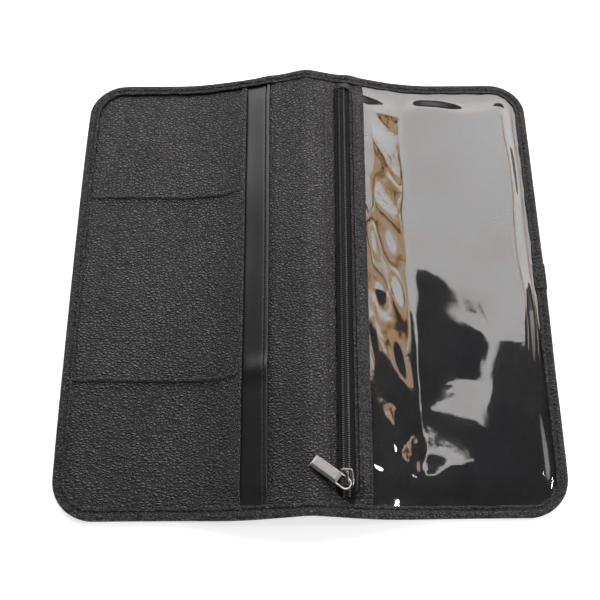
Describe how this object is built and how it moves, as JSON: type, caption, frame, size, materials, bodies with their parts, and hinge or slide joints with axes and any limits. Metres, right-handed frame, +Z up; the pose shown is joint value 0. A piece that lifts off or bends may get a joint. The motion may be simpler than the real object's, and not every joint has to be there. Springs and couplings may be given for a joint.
{
  "type": "travel document organizer",
  "caption": "Folding travel document organizer in grained imitation leather, with slip and card pockets on one side and a zipped pouch with a clear window on the other.",
  "frame": {"origin": "centre of the outline, on the surface that the open organizer rests on", "axes": "+X to the zipped half, +Y along the spine away from the slider, +Z up, out of the inner side"},
  "size_m": [0.2545, 0.25, 0.0222],
  "materials": {
    "grained_leather": "black pebble-grained imitation leather, satin",
    "binding": "black grained binding strip, satin",
    "smooth_leather": "smooth black imitation leather, semi-gloss",
    "backing": "black grained lining, satin",
    "board": "grey board, matt",
    "clear_vinyl": "clear flexible vinyl, glossy",
    "zipper_tape": "black woven tape",
    "zipper_coil": "black nylon coil",
    "slider_metal": "dark nickel, polished by wear",
    "pull_metal": "nickel, brushed"
  },
  "bodies": {
    "right_half": {"outer_cover_right": "grained_leather", "stiffener_board_right": "board", "lining_right": "backing", "edge_binding_right": "binding", "edge_binding_overlap": "binding", "zipper_tape_left": "zipper_tape", "zipper_tape_right": "zipper_tape", "zipper_coil_left": "zipper_coil", "zipper_coil_right": "zipper_coil", "zipper_facing_strip": "grained_leather", "window_binding_strip": "binding", "clear_window": "clear_vinyl"},
    "spine": {"outer_cover_spine": "grained_leather", "lining_spine": "grained_leather", "edge_binding_spine_back": "binding", "edge_binding_spine_front": "binding"},
    "left_half": {"outer_cover_left": "grained_leather", "stiffener_board_left": "board", "lining_left": "grained_leather", "rear_slip_pocket": "smooth_leather", "rear_pocket_edge_fold": "smooth_leather", "front_slip_pocket": "grained_leather", "front_pocket_hem": "grained_leather", "middle_card_pocket": "grained_leather", "low_card_pocket": "grained_leather", "edge_binding_left": "binding"},
    "slider": {"slider_body": "slider_metal", "slider_bridge": "slider_metal"},
    "pull": {"pull_tab": "pull_metal"}
  },
  "joints": [
    {"name": "right_fold", "type": "hinge", "parent": "right_half", "child": "spine", "pos_m": [0, 0, 0.02454], "axis": [0, 1, 0], "range_deg": [0, 98]},
    {"name": "left_fold", "type": "hinge", "parent": "spine", "child": "left_half", "pos_m": [0, 0, 0.02454], "axis": [0, 1, 0], "range_deg": [0, 98]},
    {"name": "slider_travel", "type": "slide", "parent": "right_half", "child": "slider", "axis": [0.0142, 0.9999, -0.0043], "range_m": [0, 0.216]},
    {"name": "pull_swing", "type": "hinge", "parent": "slider", "child": "pull", "pos_m": [0.01675, -0.11137, 0.02002], "axis": [0, 0.0043, 1], "range_deg": [0, 250]}
  ],
  "couplings": [
    {"joint": "left_fold", "follows": "right_fold", "ratio": 1}
  ]
}
